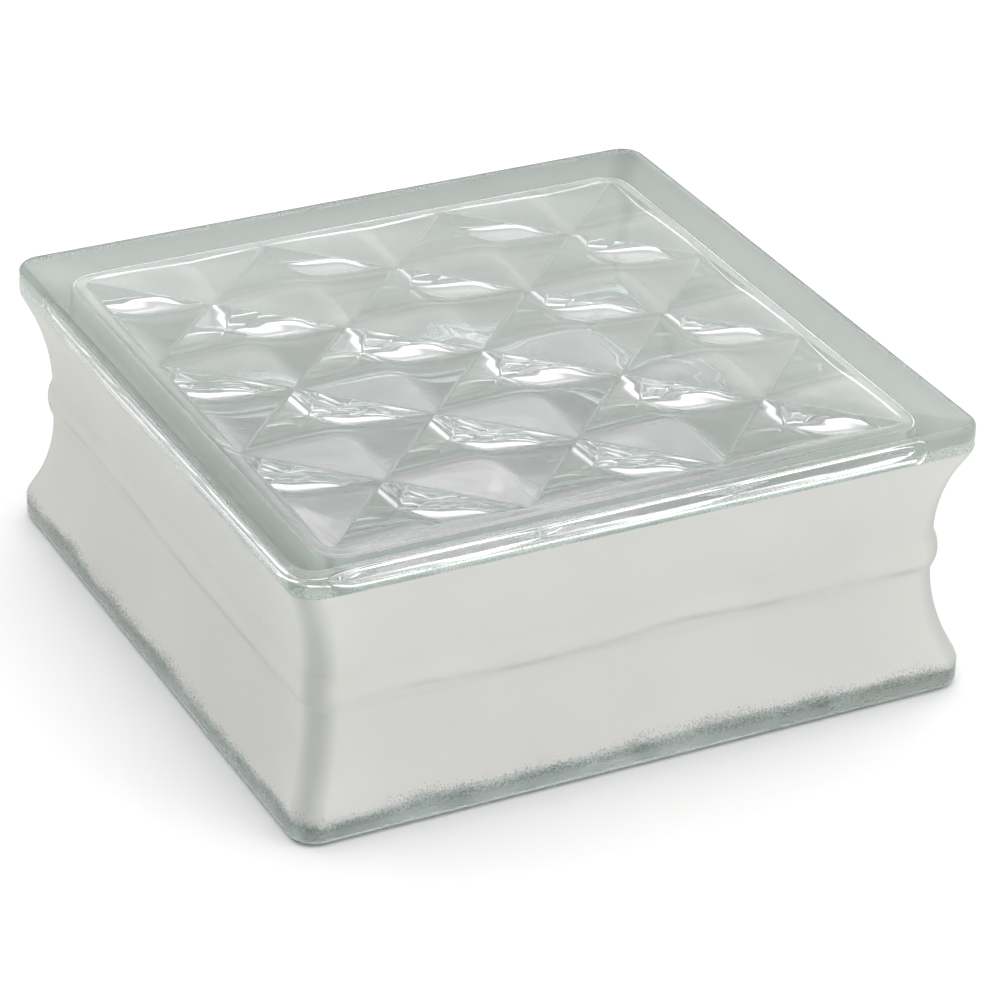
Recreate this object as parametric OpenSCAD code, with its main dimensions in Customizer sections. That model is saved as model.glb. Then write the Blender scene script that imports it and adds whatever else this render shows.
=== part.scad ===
// Hollow glass block for mortared walls: two pressed glass halves fused rim to rim,
// with a moulded star relief on the inside of both faces and an opaque coating on the edge.
// The origin is the centre of the lower face. +Z points up, through both faces.

/* [Block] */
// Width and depth of the square block
block_w = 196.85; // [150:0.05:300]
// Thickness of the block, from face to face
block_h = 79.375; // [66:0.005:100]
// Radius of the four upright corners
corner_r = 7.5; // [6:0.5:12]
// Rounding of the edge around each face
edge_r = 2; // [0.5:0.25:3]

/* [Mortar key] */
// Height of the upright band next to each face
flange_h = 7.3; // [5:0.1:10]
// Height of the straight bevel between the band and the cove
bevel_h = 7.3; // [5:0.1:9]
// How far the bevel leads in from the band
bevel_in = 3.2; // [2:0.1:4]
// How far the bottom of the cove lies in from the band
cove_in = 6.7; // [5.5:0.1:8]

/* [Seam bead] */
// Height of the bead where the two halves are fused
bead_h = 10.8; // [6:0.1:14]
// How far the bead stands out of the cove
bead_out = 1.1; // [0.5:0.1:2]

/* [Walls] */
// Thickness of the side walls at the bottom of the cove
side_wall = 4.5; // [4:0.25:8]
// Thickness of each face at its thickest, under the stars
face_wall = 9; // [7:0.25:12]
// Radius of the cavity's upright corners
cavity_r = 6; // [4:0.5:10]
// Rounding between the cavity's sides and its ceiling
cavity_fillet = 1.5; // [0.5:0.25:3]

/* [Relief] */
// Cells along each side of the relief, an even number so that all four corners are alike
relief_cells = 6; // [4:2:8]
// How deep each pyramid is pressed into the face
relief_depth = 3; // [1:0.25:4]
// Flat strip between the relief and the cavity's walls
relief_border = 4; // [3:0.25:8]
// Radius of the relief's corners
relief_r = 4.5; // [2:0.5:8]

/* [Edge coating] */
// Thickness of the coating
coating_t = 0.3; // [0.2:0.05:0.4]
// Thickness of the coating at its thinned upper and lower ends
coating_end_t = 0.1; // [0.05:0.01:0.15]
// Gap between the coating and the upper band
coating_top_gap = 0.5; // [0.5:0.1:3]
// Gap between the coating and the lower band
coating_bottom_gap = 1.9; // [0.5:0.1:5]
// Height over which the coating thins out towards its ends
coating_feather = 1; // [0.5:0.25:2]

/* [Hidden] */

half_w = block_w / 2;
half_h = block_h / 2;
corner_steps = 8;
bead_steps = 4;
cove_steps = 9;
rounding_steps = 4;
// How far a cutting body runs past the surface that it opens
cut_past = 1;

bead_z = bead_h / 2;
band_z = half_h - flange_h;
bevel_z = band_z - bevel_h;
ceiling_z = half_h - face_wall;
cavity_half = half_w - cove_in - side_wall;
relief_half = cavity_half - relief_border;
relief_pitch = 2 * relief_half / relief_cells;

// Radius of an arc that has its top at its middle, from half its chord and its rise
function arc_radius(half_chord, rise) = (half_chord * half_chord + rise * rise) / (2 * rise);
// How far such an arc has dropped at a distance from its middle
function arc_drop(r, distance) = r - sqrt(r * r - distance * distance);

bead_arc_r = arc_radius(bead_z, bead_out);
cove_arc_r = arc_radius(bevel_z - bead_z, cove_in - bevel_in);

// The edge of one half, from the seam up, as [height above the seam, inset, corner radius]
bead_levels = [
    for (i = [0:bead_steps - 1])
        let (z = bead_z * i / bead_steps)
            [z, cove_in - bead_out + arc_drop(bead_arc_r, z), corner_r]
];
cove_levels = [
    for (i = [0:cove_steps])
        let (z = bead_z + (bevel_z - bead_z) * i / cove_steps)
            [z, cove_in - arc_drop(cove_arc_r, z - bead_z), corner_r]
];
rounded_levels = [
    for (i = [0:rounding_steps])
        let (a = 90 * i / rounding_steps, e = edge_r * (1 - cos(a)))
            [half_h - edge_r * (1 - sin(a)), e, corner_r - e]
];
half_levels = concat(bead_levels, cove_levels, [[band_z, 0, corner_r]], rounded_levels);

// The whole edge, from the lower face to the upper face
function mirrored(levels) = [for (i = [len(levels) - 1:-1:1]) [-levels[i][0], levels[i][1], levels[i][2]]];
whole_levels = concat(mirrored(half_levels), half_levels);

// The cavity of one half, from below the seam up to the flat ceiling
cavity_levels = concat(
    [[-cut_past, half_w - cavity_half, cavity_r]],
    [
        for (i = [0:rounding_steps])
            let (a = 90 * i / rounding_steps, e = cavity_fillet * (1 - cos(a)))
                [ceiling_z - cavity_fillet * (1 - sin(a)), half_w - cavity_half + e, cavity_r - e]
    ]
);

// The outside of the coating, between its lower end and its upper end
coating_top = band_z - coating_top_gap;
coating_bottom = -band_z + coating_bottom_gap;
function bevel_inset(z) = bevel_in * (band_z - abs(z)) / bevel_h;
function end_share(z) = min(1, min(coating_top - z, z - coating_bottom) / coating_feather);
function coating_at(z) = coating_end_t + (coating_t - coating_end_t) * end_share(z);
function coated(level) =
    let (t = coating_at(level[0]))
        [level[0], level[1] - t, level[2] + t];
coating_ends_lower = [for (z = [coating_bottom, coating_bottom + coating_feather]) [z, bevel_inset(z), corner_r]];
coating_ends_upper = [for (z = [coating_top - coating_feather, coating_top]) [z, bevel_inset(z), corner_r]];
coating_middle = [for (level = whole_levels) if (abs(level[0]) <= bevel_z) level];
coating_levels = [for (level = concat(coating_ends_lower, coating_middle, coating_ends_upper)) coated(level)];

// Signs of X and Y at upright corner c, counted anticlockwise from +X +Y
function corner_signs(c) = [c == 0 || c == 3 ? 1 : -1, c < 2 ? 1 : -1];

// Outline of a rounded square at one level, anticlockwise seen from above
function outline(level) = [
    for (c = [0:3], s = [0:corner_steps])
        let (
            a = 90 * (c + s / corner_steps),
            centre = (half_w - level[1] - level[2]) * corner_signs(c)
        )
            [centre[0] + level[2] * cos(a), centre[1] + level[2] * sin(a), level[0]]
];

// A closed body through the outlines of a list of levels, from the lowest to the highest
module rounded_body(levels) {
    n = 4 * (corner_steps + 1);
    last = n * (len(levels) - 1);
    points = [for (level = levels) each outline(level)];
    sides = [
        for (k = [0:len(levels) - 2], i = [0:n - 1])
            let (a = k * n + i, b = k * n + (i + 1) % n)
                [a, a + n, b + n, b]
    ];
    lower_cap = [for (i = [0:n - 1]) i];
    upper_cap = [for (i = [n - 1:-1:0]) last + i];
    polyhedron(points = points, faces = concat([lower_cap], sides, [upper_cap]));
}

// A grid whose odd nodes are raised, so that four-sided pyramids fill it edge to edge.
// The crests of the face are the diagonals that join the even nodes.
// The grid runs one cell past the relief on all sides, to be cut to the relief's outline.
module pyramid_field() {
    n = relief_cells + 2;
    field_half = relief_half + relief_pitch;
    row = n + 1;
    base = row * row;
    z0 = ceiling_z - cut_past;
    points = [
        for (j = [0:n], i = [0:n])
            [
                relief_pitch * i - field_half,
                relief_pitch * j - field_half,
                ceiling_z + ((i + j) % 2 == 1 ? relief_depth : 0)
            ]
    ];
    corners = [for (c = [0:3]) [field_half * corner_signs(c)[0], field_half * corner_signs(c)[1], z0]];
    facets = [
        for (j = [0:n - 1], i = [0:n - 1])
            let (a = j * row + i, b = a + 1, c = b + row, d = a + row)
                each ((i + j) % 2 == 0 ? [[a, c, b], [a, d, c]] : [[a, d, b], [b, d, c]])
    ];
    front = [base + 3, base + 2, for (i = [0:n]) i];
    back = [base + 1, base, for (i = [n:-1:0]) n * row + i];
    left = [base + 2, base + 1, for (j = [n:-1:0]) j * row];
    right = [base, base + 3, for (j = [0:n]) j * row + n];
    bottom = [for (c = [0:3]) base + c];
    polyhedron(points = concat(points, corners), faces = concat(facets, [front, back, left, right, bottom]));
}

// One pressed half, its rim on the plane z = 0 and its face above it
module glass_half() {
    difference() {
        rounded_body(half_levels);
        rounded_body(cavity_levels);
        intersection() {
            pyramid_field();
            rounded_body([
                [ceiling_z - cut_past / 2, half_w - relief_half, relief_r],
                [half_h, half_w - relief_half, relief_r]
            ]);
        }
    }
}

module upper_glass_half() {
    color([0.78, 0.86, 0.84, 0.5])
        translate([0, 0, half_h])
            glass_half();
}

module lower_glass_half() {
    color([0.74, 0.83, 0.81, 0.5])
        translate([0, 0, half_h])
            mirror([0, 0, 1])
                glass_half();
}

module edge_coating() {
    color([0.85, 0.85, 0.83])
        translate([0, 0, half_h])
            difference() {
                rounded_body(coating_levels);
                rounded_body(whole_levels);
            }
}

upper_glass_half();
lower_glass_half();
edge_coating();
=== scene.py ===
"""Looks of a hollow glass block: two fused glass halves with a star relief inside, and a coated edge."""

import math
import random

import bpy
import numpy as np
from mathutils import Matrix, Vector


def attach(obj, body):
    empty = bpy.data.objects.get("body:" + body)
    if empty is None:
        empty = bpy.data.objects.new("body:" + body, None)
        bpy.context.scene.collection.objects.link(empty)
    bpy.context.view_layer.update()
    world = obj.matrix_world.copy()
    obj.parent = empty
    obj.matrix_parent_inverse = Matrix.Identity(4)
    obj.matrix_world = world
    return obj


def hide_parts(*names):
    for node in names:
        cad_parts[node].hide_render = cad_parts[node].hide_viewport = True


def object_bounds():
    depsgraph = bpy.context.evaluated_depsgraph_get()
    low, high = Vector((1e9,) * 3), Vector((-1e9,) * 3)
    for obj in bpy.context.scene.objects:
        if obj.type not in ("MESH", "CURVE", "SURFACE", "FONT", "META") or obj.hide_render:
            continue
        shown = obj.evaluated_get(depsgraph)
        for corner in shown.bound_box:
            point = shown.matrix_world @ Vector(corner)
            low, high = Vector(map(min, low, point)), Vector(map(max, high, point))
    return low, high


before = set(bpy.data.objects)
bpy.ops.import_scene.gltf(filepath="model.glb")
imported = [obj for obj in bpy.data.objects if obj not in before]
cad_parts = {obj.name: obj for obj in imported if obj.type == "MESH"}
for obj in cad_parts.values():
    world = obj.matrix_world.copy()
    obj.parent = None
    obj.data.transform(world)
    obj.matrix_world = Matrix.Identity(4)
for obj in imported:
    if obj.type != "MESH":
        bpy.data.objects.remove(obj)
cad_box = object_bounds()

MM = 0.001
SEED = 5
# Keeps a division safe
NOT_ZERO = 1e-9

# Block, as in model.glb and the part file
LOW, HIGH = (Vector(corner) for corner in cad_box)
HALF_W = (HIGH.x - LOW.x) / 2
HALF_H = (HIGH.z - LOW.z) / 2
CORNER_R = 7.5 * MM
EDGE_R = 2 * MM

# Mortar key: upright band, bevel and cove
BAND_H = 7.3 * MM
BEVEL_H = 7.3 * MM
BEVEL_IN = 3.2 * MM
COVE_IN = 6.7 * MM

# Bead where the two halves were fused
BEAD_H = 10.8 * MM
BEAD_OUT = 1.1 * MM

# Walls and cavity
SIDE_WALL = 4.5 * MM
FACE_WALL = 9 * MM
CAVITY_FILLET = 1.5 * MM

# Star relief in the cavity's floor and ceiling
CELLS = 6
RELIEF_DEPTH = 3 * MM
# Flat strip between the relief and the walls, and the low step between the two
RELIEF_BORDER = 4 * MM
RELIEF_STEP = 0.02 * MM
RELIEF_R = 4.5 * MM
# Rounding of the ridges, as a share of one cell
RIDGE_ROUNDING = 0.14

# Coating
COATING_T = 0.3 * MM
COATING_END_T = 0.03 * MM
COATING_FEATHER = 1 * MM
COATING_TOP_GAP = 0.1 * MM
COATING_BOTTOM_GAP = 0.1 * MM
# Height of the wave in the lower edge, and how often each of its parts goes up and down in a round
COATING_EDGE_WAVE = 0.55 * MM
WAVE_TURNS = range(3, 60, 4)
# Between the film's hidden side and the glass
BOND_GAP = 0.01 * MM
# How far specks of coating reach up the upper band and down the lower one
SPECKS_UP = 3.2 * MM
SPECKS_DOWN = 3 * MM
# How far bare specks reach into the coating above the lower band
SPECKS_OVER = 5.5 * MM

# Steps of the rounded shapes
CORNER_STEPS = 14
SIDE_STEPS = 48
BEAD_STEPS = 8
COVE_STEPS = 16
ROUNDING_STEPS = 8
CELL_STEPS = 24
# Edges sharper than this stay sharp in the smooth shading
SHARP_ANGLE = math.radians(40)

# Heights above and below the seam
BEAD_Z = BEAD_H / 2
BAND_Z = HALF_H - BAND_H
BEVEL_Z = BAND_Z - BEVEL_H
CEILING_Z = HALF_H - FACE_WALL
COATING_TOP_Z = BAND_Z - COATING_TOP_GAP
COATING_BOTTOM_Z = -BAND_Z + COATING_BOTTOM_GAP

CAVITY_HALF = HALF_W - COVE_IN - SIDE_WALL
RELIEF_HALF = CAVITY_HALF - RELIEF_BORDER
PITCH = 2 * RELIEF_HALF / CELLS

# Material numbers of the glass body and of the coating
GLASS, COATED = 0, 1
FILM, BOND = 0, 1


def arc_radius(half_chord, rise):
    """Radius of an arc, from half its chord and its rise."""
    return (half_chord ** 2 + rise ** 2) / (2 * rise)


def arc_drop(radius, distance):
    """How far an arc has dropped from its top, at that distance along the chord."""
    return radius - math.sqrt(radius ** 2 - distance ** 2)


def half_levels():
    """The edge of the upper half, upwards, as (height above the seam, inset, corner radius)."""
    bead_arc = arc_radius(BEAD_Z, BEAD_OUT)
    cove_arc = arc_radius(BEVEL_Z - BEAD_Z, COVE_IN - BEVEL_IN)
    levels = []
    for i in range(BEAD_STEPS):
        z = BEAD_Z * i / BEAD_STEPS
        levels.append((z, COVE_IN - BEAD_OUT + arc_drop(bead_arc, z), CORNER_R))
    for i in range(COVE_STEPS + 1):
        z = BEAD_Z + (BEVEL_Z - BEAD_Z) * i / COVE_STEPS
        levels.append((z, COVE_IN - arc_drop(cove_arc, z - BEAD_Z), CORNER_R))
    levels.append((BAND_Z, 0, CORNER_R))
    levels.append((BAND_Z + SPECKS_UP, 0, CORNER_R))
    for i in range(ROUNDING_STEPS + 1):
        a = math.pi / 2 * i / ROUNDING_STEPS
        inset = EDGE_R * (1 - math.cos(a))
        levels.append((HALF_H - EDGE_R * (1 - math.sin(a)), inset, CORNER_R - inset))
    return levels


def whole_levels():
    """The edge of the whole block, upwards, with the lower half mirrored from the upper one."""
    upper = half_levels()
    lower = [(-z, inset, r) for z, inset, r in reversed(upper[1:])]
    return lower + upper


def bevel_inset(z):
    """Inset of the bevel at a height above or below the seam."""
    return BEVEL_IN * (BAND_Z - abs(z)) / BEVEL_H


def outline(z, inset, r):
    """A rounded square at one height, anticlockwise seen from above."""
    centre = HALF_W - inset - r
    points = []
    for quarter, (sx, sy) in enumerate(((1, 1), (-1, 1), (-1, -1), (1, -1))):
        for step in range(CORNER_STEPS + 1):
            a = math.pi / 2 * (quarter + step / CORNER_STEPS)
            points.append((centre * sx + r * math.cos(a), centre * sy + r * math.sin(a), z))
        out_x, out_y = r * math.cos(a), r * math.sin(a)
        along_x, along_y = -math.sin(a) * 2 * centre, math.cos(a) * 2 * centre
        for step in range(1, SIDE_STEPS):
            share = step / SIDE_STEPS
            x = centre * sx + out_x + along_x * share
            y = centre * sy + out_y + along_y * share
            points.append((x, y, z))
    return points


OUTLINE_COUNT = 4 * (CORNER_STEPS + SIDE_STEPS)


class Shape:
    """Vertices and faces of one mesh, with a material number for each face."""

    def __init__(self):
        self.points = []
        self.faces = []
        self.slots = []

    def add_points(self, points):
        first = len(self.points)
        self.points.extend(points)
        return first

    def add_face(self, face, slot=0):
        self.faces.append(face)
        self.slots.append(slot)

    def band(self, lower, upper, count, slot=0, outward=True):
        """Faces between two closed rings of points that run anticlockwise."""
        for i in range(count):
            j = (i + 1) % count
            face = (lower + i, lower + j, upper + j, upper + i)
            self.add_face(face if outward else face[::-1], slot)

    def to_object(self, name, materials):
        """A Blender object of this shape, lifted by half its height so that it stands on the floor."""
        mesh = bpy.data.meshes.new(name)
        mesh.from_pydata([Vector(p) + Vector((0, 0, HALF_H)) for p in self.points], [], self.faces)
        mesh.polygons.foreach_set("material_index", self.slots)
        mesh.polygons.foreach_set("use_smooth", [True] * len(self.faces))
        for material in materials:
            mesh.materials.append(material)
        mesh.validate()
        mesh.set_sharp_from_angle(angle=SHARP_ANGLE)
        obj = bpy.data.objects.new(name, mesh)
        bpy.context.scene.collection.objects.link(obj)
        return obj


# Glass body

def round_corner(x, y, half, r):
    """Moves points of a square of that half-width into the same square with rounded corners."""
    u = np.maximum(np.abs(x) - (half - r), 0) / r
    v = np.maximum(np.abs(y) - (half - r), 0) / r
    pull = np.where((u > 0) & (v > 0), np.maximum(u, v) / np.maximum(np.hypot(u, v), NOT_ZERO), 1)
    new_x = np.where(u > 0, np.sign(x) * (half - r + r * u * pull), x)
    new_y = np.where(v > 0, np.sign(y) * (half - r + r * v * pull), y)
    return new_x, new_y


def ridge(x):
    """Height along a slope whose foot at zero is rounded."""
    return np.sqrt(x * x + RIDGE_ROUNDING ** 2) - RIDGE_ROUNDING


def relief_rise(x, y):
    """How far the pyramids on every second grid point cut into the face at (x, y)."""
    u = x / PITCH + CELLS / 2
    v = y / PITCH + CELLS / 2
    column, row = np.round(u), np.round(v)
    du, dv = np.abs(u - column), np.abs(v - row)
    at_peak = (column + row) % 2 == 1
    beside = du > dv
    across = np.where(at_peak, du, np.where(beside, 1 - du, du))
    along = np.where(at_peak, dv, np.where(beside, dv, 1 - dv))
    rise = 1 - (ridge(across) + ridge(along)) / ridge(1.0)
    return RELIEF_DEPTH * np.maximum(rise, 0)


def add_outside(shape):
    """The outside of the glass, from the lower face up to the upper one."""
    levels = whole_levels()
    starts = [shape.add_points(outline(*level)) for level in levels]
    for k in range(len(levels) - 1):
        middle = (levels[k][0] + levels[k + 1][0]) / 2
        slot = COATED if middle < BAND_Z + SPECKS_UP else GLASS
        shape.band(starts[k], starts[k + 1], OUTLINE_COUNT, slot)
    shape.add_face([starts[0] + i for i in reversed(range(OUTLINE_COUNT))])
    shape.add_face([starts[-1] + i for i in range(OUTLINE_COUNT)])


def add_relief(shape, side):
    """One relief grid, split along its ridges; gives its border as point numbers and square places."""
    steps = CELLS * CELL_STEPS
    row = steps + 1
    line = np.linspace(-RELIEF_HALF, RELIEF_HALF, row)
    square_x, square_y = np.meshgrid(line, line)
    x, y = round_corner(square_x, square_y, RELIEF_HALF, RELIEF_R)
    z = side * (CEILING_Z + relief_rise(x, y))
    first = shape.add_points(np.stack([x, y, z], -1).reshape(-1, 3).tolist())
    for j in range(steps):
        for i in range(steps):
            a = first + j * row + i
            b, c, d = a + 1, a + 1 + row, a + row
            rising = (i // CELL_STEPS + j // CELL_STEPS) % 2 == 0
            for triangle in ((a, b, c), (a, c, d)) if rising else ((a, b, d), (b, c, d)):
                shape.add_face(triangle[::-1] if side > 0 else triangle)
    places = [(steps, i) for i in range(steps, -1, -1)]
    places += [(j, 0) for j in range(steps - 1, -1, -1)]
    places += [(0, i) for i in range(1, steps + 1)]
    places += [(j, steps) for j in range(1, steps)]
    border = [first + j * row + i for j, i in places]
    square = [(line[i], line[j]) for j, i in places]
    return border, square


def cavity_ring(shape, square, out, z):
    """A ring round the cavity, standing out from the relief's border by that much."""
    grow = (RELIEF_HALF + out) / RELIEF_HALF
    x = np.array([p[0] for p in square]) * grow
    y = np.array([p[1] for p in square]) * grow
    x, y = round_corner(x, y, RELIEF_HALF + out, RELIEF_R + out)
    return shape.add_points([(px, py, z) for px, py in zip(x.tolist(), y.tolist())])


def add_cavity(shape):
    """Both reliefs, the step round each, the fillets and the wall between them."""
    walls = []
    for side in (1, -1):
        border, square = add_relief(shape, side)
        count = len(border)
        ring = cavity_ring(shape, square, 0, side * (CEILING_Z - RELIEF_STEP))
        for k in range(count):
            q = (k + 1) % count
            face = (border[k], border[q], ring + q, ring + k)
            shape.add_face(face if side > 0 else face[::-1])
        for i in range(ROUNDING_STEPS + 1):
            a = math.pi / 2 * i / ROUNDING_STEPS
            down = 2 * RELIEF_STEP + CAVITY_FILLET * (1 - math.cos(a))
            out = RELIEF_BORDER - CAVITY_FILLET * (1 - math.sin(a))
            start = cavity_ring(shape, square, out, side * (CEILING_Z - down))
            shape.band(ring, start, count, outward=side > 0)
            ring = start
        walls.append(ring)
    shape.band(walls[1], walls[0], count, outward=False)


def glass_shape():
    """Both halves as one body, with its outside and the sealed cavity."""
    shape = Shape()
    add_outside(shape)
    add_cavity(shape)
    return shape


# Coating

def edge_wave(chance):
    """Heights of a slow wave round the block, for the coating's uneven lower edge."""
    parts = []
    for turns in WAVE_TURNS:
        phase = chance.uniform(0, math.tau)
        share = chance.uniform(0.4, 1) / math.sqrt(turns)
        parts.append((turns, phase, share))
    size = math.sqrt(sum(share ** 2 for _, _, share in parts))
    wave = []
    for i in range(OUTLINE_COUNT):
        a = math.tau * i / OUTLINE_COUNT
        wave.append(sum(share * math.sin(turns * a + phase) for turns, phase, share in parts) / size)
    return wave


def coating_levels():
    """The glass under the coating, upwards, as (height above the seam, inset, corner radius)."""
    levels = [(COATING_BOTTOM_Z, bevel_inset(COATING_BOTTOM_Z), CORNER_R)]
    z = COATING_BOTTOM_Z + COATING_FEATHER
    levels.append((z, bevel_inset(z), CORNER_R))
    levels += [level for level in whole_levels() if abs(level[0]) <= BEVEL_Z]
    z = COATING_TOP_Z - COATING_FEATHER
    levels.append((z, bevel_inset(z), CORNER_R))
    levels.append((COATING_TOP_Z, bevel_inset(COATING_TOP_Z), CORNER_R))
    return levels


def coating_shape():
    """A thin closed skin round the cove, from the lower band to just under the upper one."""
    wave = edge_wave(random.Random(SEED))
    levels = coating_levels()
    last = len(levels) - 1
    shape = Shape()
    outer, inner = [], []
    for k, (z, inset, r) in enumerate(levels):
        t = COATING_END_T if k in (0, last) else COATING_T
        skin = outline(z, inset - t, r + t)
        bond = outline(z, inset - BOND_GAP, r + BOND_GAP)
        if k < 2:
            skin = [slide(p, lift) for p, lift in zip(skin, wave)]
            bond = [slide(p, lift) for p, lift in zip(bond, wave)]
        outer.append(shape.add_points(skin))
        inner.append(shape.add_points(bond))
    for k in range(last):
        shape.band(outer[k], outer[k + 1], OUTLINE_COUNT, FILM)
        shape.band(inner[k], inner[k + 1], OUTLINE_COUNT, BOND, outward=False)
    shape.band(outer[last], inner[last], OUTLINE_COUNT, FILM)
    shape.band(outer[0], inner[0], OUTLINE_COUNT, FILM, outward=False)
    return shape


def slide(point, lift):
    """Moves a point of the coating's lower edge up along the bevel, by the wave's height there."""
    rise = COATING_EDGE_WAVE * max(lift / 2 + 1 / 2, 0)
    inward = rise * BEVEL_IN / BEVEL_H
    x, y, z = point
    reach = max(abs(x), abs(y))
    shrink = (reach - inward) / reach
    return (x * shrink, y * shrink, z + rise)


# Materials

WHITE = (1, 1, 1)
GLASS_IOR = 1.52
# Colour that thick glass gives to light, and how strongly each metre does so
GLASS_TINT, GLASS_DENSITY = (0.92, 0.97, 0.955, 1), 3

# Film seen from outside and through the glass, as its darkest and lightest patches
OUTER_DARK, OUTER_LIGHT = (0.915, 0.89, 0.865), (0.965, 0.94, 0.917)
INNER_DARK, INNER_LIGHT = (0.85, 0.885, 0.865), (0.905, 0.935, 0.918)
# Its gloss, and the share of light that goes through it
OUTER_GLOSS, OUTER_THROUGH = 0.4, 0.5
INNER_GLOSS, INNER_THROUGH = 0.0, 0.4
SEAM_COLOUR = (0.72, 0.74, 0.71)
# Painted shade that darkens the film on the upright corners
CORNER_SHADE_COLOUR = (0.68, 0.70, 0.68)
THROUGH_COLOUR = (0.94, 0.94, 0.92, 1)

# Overspray on the lower band: its colour and its dark grains; and painted shade along the rounded bottom
# edge under it
HAZE_COLOUR = (0.60, 0.65, 0.64)
GRAIN_COLOUR = (0.22, 0.26, 0.26)
# Painted shade: a dark line along the rounded bottom edge
EDGE_SHADE_COLOUR = (0.38, 0.42, 0.42)

FLOOR_DARK, FLOOR_LIGHT = (0.87, 0.87, 0.87), (0.89, 0.89, 0.89)
FLOOR_GLOSS = 0.2

# Least and most roughness
SMEAR_ROUGHNESS = (0, 0.05)
HAZE_ROUGHNESS = (0.22, 0.42)
FILM_ROUGHNESS = (0.38, 0.55)
FLOOR_ROUGHNESS = (0.75, 0.85)

# Strength and depth of the fine relief on each surface, and the share of the film's fine grain in it
GLASS_BUMP = (0.04, 0.3 * MM)
FILM_BUMP = (0.35, 0.12 * MM)
FLOOR_BUMP = (0.1, 0.1 * MM)
FINE_SHARE = 0.35

# Heights above the floor: the bands' inner edges, where overspray lies, and where the painted shade
# along the bottom edge lies
LOWER_EDGE = HALF_H - BAND_Z
UPPER_EDGE = HALF_H + BAND_Z
EDGE_BLUR = 0.05 * MM
HAZE_FOOT, HAZE_TOP, HAZE_FADE = 2.4 * MM, LOWER_EDGE + 4 * MM, 1.2 * MM
HAZE_ROUGH_TOP = LOWER_EDGE + 2 * MM
GRAIN_FOOT, GRAIN_TOP, GRAIN_FADE = LOWER_EDGE - 2 * MM, LOWER_EDGE + 7 * MM, 2 * MM
# Height and fade of the painted shade along the bottom edge
EDGE_SHADE_TOP, EDGE_SHADE_FADE = 1 * MM, 0.2 * MM

# Half-width of the seam's dark line, where it has faded out, and how much is left of it in its gaps
SEAM_CORE, SEAM_REACH = 0.2 * MM, 1.2 * MM
SEAM_GAPS = 0.2

# Amount of coating, where one and more is full and zero is bare
BARE, LOW_FULL = -0.05, 1.55
WAIST, UPPER_SPECKS = 1.4, 0.42
# How much it drifts from patch to patch, and how softly its specks end
DRIFT = 0.3
SPECK_SOFTNESS = 0.15

# Part of its own range in which most of a noise lies, and the parts used where only some of it shows
NOISE_LOW, NOISE_HIGH = 0.3, 0.7
SMEAR_CUT = (0.45, 0.75)
GRAIN_CUT = (0.44, 0.54)
SEAM_CUT = (0.38, 0.62)
# How far a surface turns to the diagonal where the painted shade on an upright corner starts, and where
# it is full
CORNER_SHADE_CUT = (0.08, 0.58)


def new_material(name):
    """An empty material and its node tree."""
    material = bpy.data.materials.new(name)
    material.use_nodes = True
    material.node_tree.nodes.clear()
    return material, material.node_tree


def place(tree):
    """Coordinates in metres in the block's own frame."""
    return tree.nodes.new("ShaderNodeTexCoord").outputs["Object"]


def stretched(tree, vector, scale):
    """The same place, scaled by its own amount along each axis."""
    node = tree.nodes.new("ShaderNodeVectorMath")
    node.operation = "MULTIPLY"
    node.inputs[1].default_value = scale
    tree.links.new(vector, node.inputs[0])
    return node.outputs[0]


def noise(tree, vector, scale, detail=2, roughness=0.5):
    """Soft noise from zero to one, with that many waves in a metre."""
    node = tree.nodes.new("ShaderNodeTexNoise")
    node.inputs["Scale"].default_value = scale
    node.inputs["Detail"].default_value = detail
    node.inputs["Roughness"].default_value = roughness
    tree.links.new(vector, node.inputs["Vector"])
    return node.outputs["Fac"]


def ramp(tree, value, low, high, to_low=0.0, to_high=1.0):
    """The value carried from one range to another, and held at its ends."""
    node = tree.nodes.new("ShaderNodeMapRange")
    node.inputs["From Min"].default_value = low
    node.inputs["From Max"].default_value = high
    node.inputs["To Min"].default_value = to_low
    node.inputs["To Max"].default_value = to_high
    tree.links.new(value, node.inputs["Value"])
    return node.outputs[0]


def full_range(tree, value, to_low=0.0, to_high=1.0):
    """Noise spread over the whole of a range."""
    return ramp(tree, value, NOISE_LOW, NOISE_HIGH, to_low, to_high)


def math_node(tree, operation, a, b=0):
    """One step of arithmetic; a and b are numbers or outputs of other nodes."""
    node = tree.nodes.new("ShaderNodeMath")
    node.operation = operation
    for socket, value in zip(node.inputs, (a, b)):
        if isinstance(value, (int, float)):
            socket.default_value = value
        else:
            tree.links.new(value, socket)
    return node.outputs[0]


def mix_colour(tree, factor, first, second):
    node = tree.nodes.new("ShaderNodeMix")
    node.data_type = "RGBA"
    tree.links.new(factor, node.inputs[0])
    for socket, colour in ((node.inputs[6], first), (node.inputs[7], second)):
        if isinstance(colour, tuple):
            socket.default_value = (*colour, 1)
        else:
            tree.links.new(colour, socket)
    return node.outputs[2]


def bump(tree, height, strength, distance):
    node = tree.nodes.new("ShaderNodeBump")
    node.inputs["Strength"].default_value = strength
    node.inputs["Distance"].default_value = distance
    tree.links.new(height, node.inputs["Height"])
    return node.outputs[0]


def height_of(tree, vector):
    """Height above the floor."""
    node = tree.nodes.new("ShaderNodeSeparateXYZ")
    tree.links.new(vector, node.inputs[0])
    return node.outputs[2]


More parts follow.
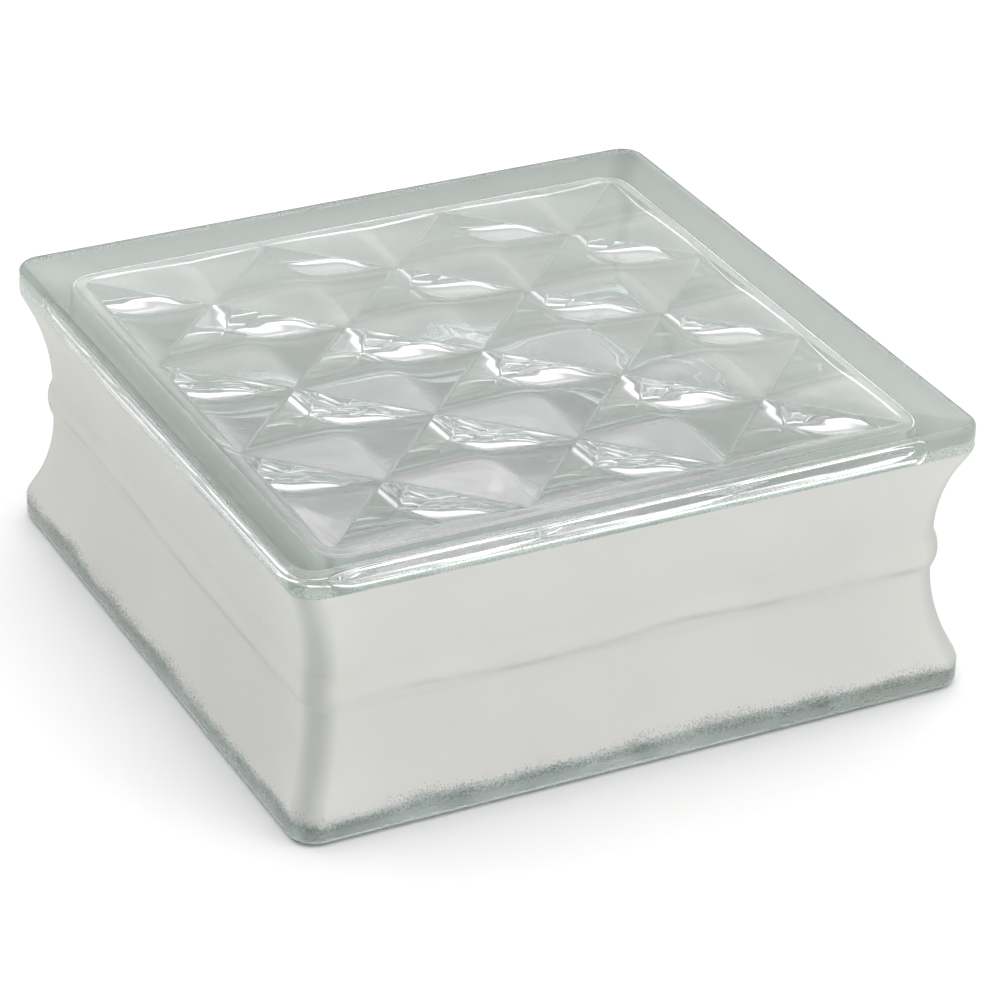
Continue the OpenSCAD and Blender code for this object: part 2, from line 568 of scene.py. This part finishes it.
def coverage(tree, vector):
    """Where the coating lies: full on the waist, breaking up into specks at its two edges."""
    z = height_of(tree, vector)
    low = ramp(tree, z, LOWER_EDGE - SPECKS_DOWN, LOWER_EDGE + SPECKS_OVER, BARE, LOW_FULL)
    high = ramp(tree, z, UPPER_EDGE - EDGE_BLUR, UPPER_EDGE + EDGE_BLUR, WAIST, UPPER_SPECKS)
    amount = math_node(tree, "MINIMUM", low, high)
    patches = noise(tree, stretched(tree, vector, (1, 1, 3)), scale=45)
    drift = full_range(tree, patches, -DRIFT, DRIFT)
    grain = full_range(tree, noise(tree, vector, scale=1900, detail=3, roughness=0.7))
    spare = math_node(tree, "SUBTRACT", math_node(tree, "ADD", amount, drift), grain)
    return ramp(tree, spare, -SPECK_SOFTNESS, SPECK_SOFTNESS)


def between(tree, value, low, high, fade):
    """One between two numbers and zero outside them."""
    start = ramp(tree, value, low - fade, low)
    end = ramp(tree, value, high, high + fade, 1, 0)
    return math_node(tree, "MULTIPLY", start, end)


def overspray_and_edge_shade(tree, vector):
    """Grey of the overspray on the lower band, dark grains in it, and painted shade on the rounded edge
    below it.
    """
    z = height_of(tree, vector)
    haze = between(tree, z, HAZE_FOOT, HAZE_TOP, HAZE_FADE)
    grains = ramp(tree, noise(tree, vector, scale=1700, roughness=0.7), *GRAIN_CUT)
    grain_zone = between(tree, z, GRAIN_FOOT, GRAIN_TOP, GRAIN_FADE)
    dark = math_node(tree, "MULTIPLY", grains, grain_zone)
    # Painted shade along the rounded bottom edge
    edge_shade = between(tree, z, 0, EDGE_SHADE_TOP, EDGE_SHADE_FADE)
    tint = mix_colour(tree, haze, WHITE, HAZE_COLOUR)
    tint = mix_colour(tree, dark, tint, GRAIN_COLOUR)
    return mix_colour(tree, edge_shade, tint, EDGE_SHADE_COLOUR)


def band_haze(tree, vector):
    """Roughness left by thin overspray on the lower band."""
    haze = between(tree, height_of(tree, vector), HAZE_FOOT, HAZE_ROUGH_TOP, HAZE_FADE)
    patches = noise(tree, stretched(tree, vector, (1, 1, 4)), scale=60, detail=3)
    return math_node(tree, "MULTIPLY", haze, full_range(tree, patches, *HAZE_ROUGHNESS))


def glass_shader(tree, vector, coated=False):
    """Pressed clear glass: slightly wavy, with faint smears on its surface."""
    shader = tree.nodes.new("ShaderNodeBsdfPrincipled")
    shader.inputs["Base Color"].default_value = (*WHITE, 1)
    shader.inputs["IOR"].default_value = GLASS_IOR
    shader.inputs["Transmission Weight"].default_value = 1
    smear = ramp(tree, noise(tree, vector, scale=30, detail=4), *SMEAR_CUT, *SMEAR_ROUGHNESS)
    if coated:
        smear = math_node(tree, "MAXIMUM", smear, band_haze(tree, vector))
        # Overspray, and painted shade along the bottom edge
        tree.links.new(overspray_and_edge_shade(tree, vector), shader.inputs["Base Color"])
    tree.links.new(smear, shader.inputs["Roughness"])
    wave = noise(tree, vector, scale=40, detail=1)
    tree.links.new(bump(tree, wave, *GLASS_BUMP), shader.inputs["Normal"])
    return shader.outputs[0]


def absorb(tree, out):
    """The faint green of soda-lime glass, seen through its thickness."""
    node = tree.nodes.new("ShaderNodeVolumeAbsorption")
    node.inputs["Color"].default_value = GLASS_TINT
    node.inputs["Density"].default_value = GLASS_DENSITY
    tree.links.new(node.outputs[0], out.inputs["Volume"])


def corner_shade_mask(tree):
    """Painted shade: one on the upright corners, darkening the film there, and zero on the straight
    sides.
    """
    facing = tree.nodes.new("ShaderNodeTexCoord").outputs["Normal"]
    node = tree.nodes.new("ShaderNodeSeparateXYZ")
    tree.links.new(facing, node.inputs[0])
    x = math_node(tree, "ABSOLUTE", node.outputs[0])
    y = math_node(tree, "ABSOLUTE", node.outputs[1])
    return ramp(tree, math_node(tree, "MINIMUM", x, y), *CORNER_SHADE_CUT)


def seam_mask(tree, vector):
    """A faint broken line that wanders over the lower half of the bead."""
    course = noise(tree, stretched(tree, vector, (1, 1, 0)), scale=10)
    wander = full_range(tree, course, HALF_H - BEAD_Z, HALF_H)
    off_seam = math_node(tree, "SUBTRACT", height_of(tree, vector), wander)
    line = ramp(tree, math_node(tree, "ABSOLUTE", off_seam), SEAM_CORE, SEAM_REACH, 1, 0)
    patches = noise(tree, stretched(tree, vector, (1, 1, 4)), scale=60, detail=4)
    broken = ramp(tree, patches, *SEAM_CUT, SEAM_GAPS, 1)
    return math_node(tree, "MULTIPLY", line, broken)


def film_grain(tree, vector):
    """Fine grain and upright streaks of the film, as a bumped surface direction."""
    fine = noise(tree, vector, scale=1100, detail=3)
    streaks = noise(tree, stretched(tree, vector, (1, 1, 0.15)), scale=260)
    relief = math_node(tree, "ADD", math_node(tree, "MULTIPLY", fine, FINE_SHARE), streaks)
    return bump(tree, relief, *FILM_BUMP)


def film_shader(tree, vector, dark, light, gloss, through_share):
    """White film: part of the light is scattered back, and part is let through."""
    shader = tree.nodes.new("ShaderNodeBsdfPrincipled")
    shader.inputs["Specular IOR Level"].default_value = gloss
    cloud = full_range(tree, noise(tree, vector, scale=28, detail=4, roughness=0.6))
    body = mix_colour(tree, cloud, dark, light)
    body = mix_colour(tree, seam_mask(tree, vector), body, SEAM_COLOUR)
    # Painted shade on the upright corners
    body = mix_colour(tree, corner_shade_mask(tree), body, CORNER_SHADE_COLOUR)
    tree.links.new(body, shader.inputs["Base Color"])
    tree.links.new(ramp(tree, cloud, 0, 1, *FILM_ROUGHNESS), shader.inputs["Roughness"])
    tree.links.new(film_grain(tree, vector), shader.inputs["Normal"])
    through = tree.nodes.new("ShaderNodeBsdfTranslucent")
    through.inputs["Color"].default_value = THROUGH_COLOUR
    mix = tree.nodes.new("ShaderNodeMixShader")
    mix.inputs[0].default_value = through_share
    tree.links.new(shader.outputs[0], mix.inputs[1])
    tree.links.new(through.outputs[0], mix.inputs[2])
    return mix.outputs[0]


def glass_material():
    material, tree = new_material("glass")
    out = tree.nodes.new("ShaderNodeOutputMaterial")
    tree.links.new(glass_shader(tree, place(tree)), out.inputs["Surface"])
    absorb(tree, out)
    return material


def coated_glass_material():
    """Glass under the coating, seen from inside, with stray specks at the coating's edges."""
    material, tree = new_material("coated_glass")
    vector = place(tree)
    out = tree.nodes.new("ShaderNodeOutputMaterial")
    mix = tree.nodes.new("ShaderNodeMixShader")
    tree.links.new(coverage(tree, vector), mix.inputs[0])
    tree.links.new(glass_shader(tree, vector, coated=True), mix.inputs[1])
    film = film_shader(tree, vector, INNER_DARK, INNER_LIGHT, INNER_GLOSS, INNER_THROUGH)
    tree.links.new(film, mix.inputs[2])
    tree.links.new(mix.outputs[0], out.inputs["Surface"])
    absorb(tree, out)
    return material


def coating_material():
    """The film seen from outside, with nothing where its edge breaks up."""
    material, tree = new_material("edge_coating")
    vector = place(tree)
    out = tree.nodes.new("ShaderNodeOutputMaterial")
    clear = tree.nodes.new("ShaderNodeBsdfTransparent")
    mix = tree.nodes.new("ShaderNodeMixShader")
    tree.links.new(coverage(tree, vector), mix.inputs[0])
    tree.links.new(clear.outputs[0], mix.inputs[1])
    film = film_shader(tree, vector, OUTER_DARK, OUTER_LIGHT, OUTER_GLOSS, OUTER_THROUGH)
    tree.links.new(film, mix.inputs[2])
    tree.links.new(mix.outputs[0], out.inputs["Surface"])
    return material


def bond_material():
    """The hidden side of the film, bonded to the glass, which light passes."""
    material, tree = new_material("coating_bond")
    out = tree.nodes.new("ShaderNodeOutputMaterial")
    clear = tree.nodes.new("ShaderNodeBsdfTransparent")
    tree.links.new(clear.outputs[0], out.inputs["Surface"])
    return material


def floor_material():
    material, tree = new_material("floor")
    out = tree.nodes.new("ShaderNodeOutputMaterial")
    shader = tree.nodes.new("ShaderNodeBsdfPrincipled")
    vector = place(tree)
    cloud = noise(tree, vector, scale=6, detail=4)
    tree.links.new(mix_colour(tree, cloud, FLOOR_DARK, FLOOR_LIGHT), shader.inputs["Base Color"])
    tree.links.new(full_range(tree, cloud, *FLOOR_ROUGHNESS), shader.inputs["Roughness"])
    tree.links.new(bump(tree, noise(tree, vector, scale=900), *FLOOR_BUMP), shader.inputs["Normal"])
    shader.inputs["Specular IOR Level"].default_value = FLOOR_GLOSS
    tree.links.new(shader.outputs[0], out.inputs["Surface"])
    return material


# Pieces

glass = glass_shape().to_object("glass_body", [glass_material(), coated_glass_material()])
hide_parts("upper_glass_half", "lower_glass_half")
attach(glass, "root")

coating = coating_shape().to_object("coating_skin", [coating_material(), bond_material()])
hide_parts("edge_coating")
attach(coating, "root")


# Studio

FLOOR_HALF = 6
FLOOR_GAP = 0.2 * MM
# Brightness of the walls all round
WORLD = 0.6
# Overhead light: brightness, width and height
TOP_L = 1.4
TOP_SIZE = 2.4
TOP_Z = 1.64
# Direction level with the floor, away from the camera, in degrees
AWAY = 62.8
# Soft patches of light and shade on the walls: azimuth, elevation and spread in degrees, and brightness
GLOWS = {
    "window": (AWAY, 28.5, (9, 3), 0.4),
    "far_wall": (AWAY, 24.5, (12, 3.2), 0.85),
    "high": (AWAY + 10, 50, (33, 6), 1.35),
    "far_shade": (AWAY, 9, (30, 5), -0.25),
    "left_shade": (195, 20, (35, 15), -0.25),
    "right_side": (-35, 30, (16, 12), 1.25),
}
# Square of the share of a patch's reach at which it starts to fade
GLOW_CORE = 0.3
# Bounces of light for each kind of surface
GLASS_BOUNCES = 20
DIFFUSE_BOUNCES = 6
CLEAR_BOUNCES = 16


def add_floor():
    mesh = bpy.data.meshes.new("floor")
    signs = ((-1, -1), (1, -1), (1, 1), (-1, 1))
    corners = [(sx * FLOOR_HALF, sy * FLOOR_HALF, 0) for sx, sy in signs]
    mesh.from_pydata(corners, [], [(0, 1, 2, 3)])
    mesh.materials.append(floor_material())
    obj = bpy.data.objects.new("floor", mesh)
    bpy.context.scene.collection.objects.link(obj)
    obj.location.z = -FLOOR_GAP


def along(tree, direction, axis):
    """How far a direction points along an axis."""
    node = tree.nodes.new("ShaderNodeVectorMath")
    node.operation = "DOT_PRODUCT"
    node.inputs[1].default_value = axis
    tree.links.new(direction, node.inputs[0])
    return node.outputs["Value"]


def glow(tree, direction, azimuth, elevation, spread, brightness):
    """A soft oval patch of light on the studio's walls, which has faded out at twice its spread."""
    turn, rise = math.radians(azimuth), math.radians(elevation)
    centre = (math.cos(turn) * math.cos(rise), math.sin(turn) * math.cos(rise), math.sin(rise))
    side = (-math.sin(turn), math.cos(turn), 0)
    up = (-math.cos(turn) * math.sin(rise), -math.sin(turn) * math.sin(rise), math.cos(rise))
    off = 0
    for axis, angle in zip((side, up), spread):
        reach = 2 * math.sin(math.radians(angle))
        share = math_node(tree, "MULTIPLY", along(tree, direction, axis), 1 / reach)
        off = math_node(tree, "ADD", off, math_node(tree, "MULTIPLY", share, share))
    patch = ramp(tree, off, GLOW_CORE, 1, 1, 0)
    ahead = math_node(tree, "GREATER_THAN", along(tree, direction, centre))
    patch = math_node(tree, "MULTIPLY", patch, ahead)
    return math_node(tree, "MULTIPLY", patch, brightness)


def add_world():
    """Even light from all round, with soft glows on the side away from the camera."""
    world = bpy.data.worlds.new("studio")
    bpy.context.scene.world = world
    world.use_nodes = True
    tree = world.node_tree
    direction = tree.nodes.new("ShaderNodeTexCoord").outputs["Generated"]
    strength = WORLD
    for azimuth, elevation, spread, brightness in GLOWS.values():
        patch = glow(tree, direction, azimuth, elevation, spread, brightness)
        strength = math_node(tree, "ADD", strength, patch)
    background = tree.nodes["Background"]
    background.inputs["Color"].default_value = (*WHITE, 1)
    tree.links.new(strength, background.inputs["Strength"])


def add_overhead():
    """A wide soft box that faces straight down."""
    lamp = bpy.data.lights.new("overhead", "AREA")
    lamp.size = TOP_SIZE
    lamp.energy = TOP_L * math.pi * TOP_SIZE ** 2
    obj = bpy.data.objects.new("overhead", lamp)
    bpy.context.scene.collection.objects.link(obj)
    obj.location.z = TOP_Z
    obj.visible_camera = False


def set_light_paths():
    """Enough bounces for light that is reflected many times inside the glass."""
    cycles = bpy.context.scene.cycles
    cycles.max_bounces = GLASS_BOUNCES
    cycles.transmission_bounces = GLASS_BOUNCES
    cycles.glossy_bounces = GLASS_BOUNCES
    cycles.diffuse_bounces = DIFFUSE_BOUNCES
    cycles.transparent_max_bounces = CLEAR_BOUNCES


add_floor()
add_world()
add_overhead()
bpy.context.scene.view_settings.view_transform = "Standard"
set_light_paths()


# Camera

# The photo's angle and distance, worked out from the block's outline in it
AZIMUTH = math.radians(-27.208)
ELEVATION = math.radians(28.804)
ROLL = math.radians(1.467)
DISTANCE = 1154.35 * MM
# From the block's centre to the place that the camera looks at
AIM_RIGHT, AIM_DOWN = 5.42 * MM, 8.72 * MM
# Focal length in millimetres, as Blender counts it
LENS = 151.38
CAMERA_REACH = 50


def add_camera():
    """A camera that sees the block as the photo does."""
    ahead = Vector((
        -math.sin(AZIMUTH) * math.cos(ELEVATION),
        math.cos(AZIMUTH) * math.cos(ELEVATION),
        -math.sin(ELEVATION),
    ))
    level = Vector((math.cos(AZIMUTH), math.sin(AZIMUTH), 0))
    upright = level.cross(ahead)
    right = level * math.cos(ROLL) + upright * math.sin(ROLL)
    up = upright * math.cos(ROLL) - level * math.sin(ROLL)
    centre = (LOW + HIGH) / 2
    place_of_lens = centre + right * AIM_RIGHT - up * AIM_DOWN - ahead * DISTANCE
    data = bpy.data.cameras.new("camera")
    data.lens = LENS
    data.clip_end = CAMERA_REACH
    camera = bpy.data.objects.new("camera", data)
    bpy.context.scene.collection.objects.link(camera)
    turn = Matrix((right, up, -ahead)).transposed().to_4x4()
    camera.matrix_world = Matrix.Translation(place_of_lens) @ turn
    bpy.context.scene.camera = camera


add_camera()
